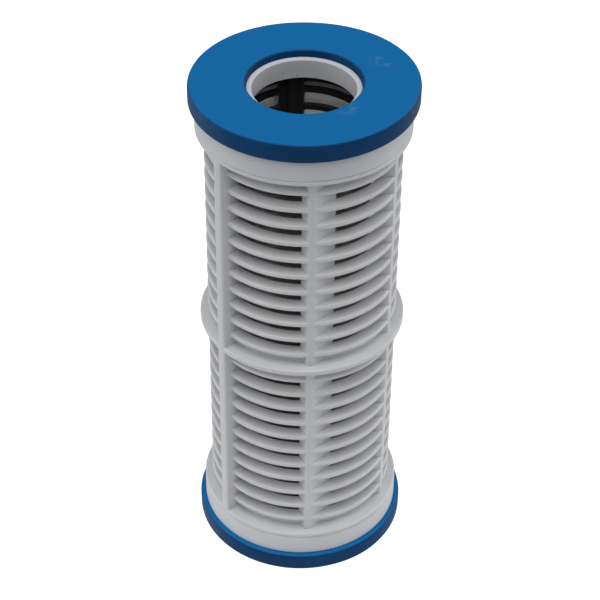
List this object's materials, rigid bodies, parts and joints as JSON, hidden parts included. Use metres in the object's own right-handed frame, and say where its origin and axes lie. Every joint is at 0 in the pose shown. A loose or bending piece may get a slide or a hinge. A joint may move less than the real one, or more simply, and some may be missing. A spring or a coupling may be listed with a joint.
{
  "type": "water filter cartridge",
  "caption": "Washable cylindrical water filter cartridge, open at both ends: finned outer cage, slotted inner core with a mesh sleeve, end caps and flat gaskets.",
  "frame": {"origin": "centre of the lower gasket's sealing face, which the cartridge stands on", "axes": "+Z along the cartridge's axis towards its upper gasket; -Y through one of the low ribs of the cage"},
  "size_m": [0.0502, 0.0502, 0.125],
  "materials": {
    "gasket_elastomer": "matt moulded elastomer, mid blue",
    "cap_plastic": "satin moulded polypropylene, white",
    "cage_plastic": "satin moulded polypropylene, white",
    "core_plastic": "satin moulded polypropylene, black",
    "mesh_fabric": "fine woven monofilament mesh, off-white"
  },
  "bodies": {
    "cartridge": {"outer_cage": "cage_plastic", "inner_core": "core_plastic", "filter_mesh": "mesh_fabric", "top_end_cap": "cap_plastic", "bottom_end_cap": "cap_plastic"},
    "top_gasket": {"top_gasket": "gasket_elastomer"},
    "bottom_gasket": {"bottom_gasket": "gasket_elastomer"}
  },
  "joints": [
    {"name": "top_gasket_pull", "type": "slide", "parent": "cartridge", "child": "top_gasket", "axis": [0, 0, 1], "range_m": [0, 0.012]},
    {"name": "bottom_gasket_pull", "type": "slide", "parent": "cartridge", "child": "bottom_gasket", "axis": [0, 0, -1], "range_m": [0, 0.012]}
  ]
}
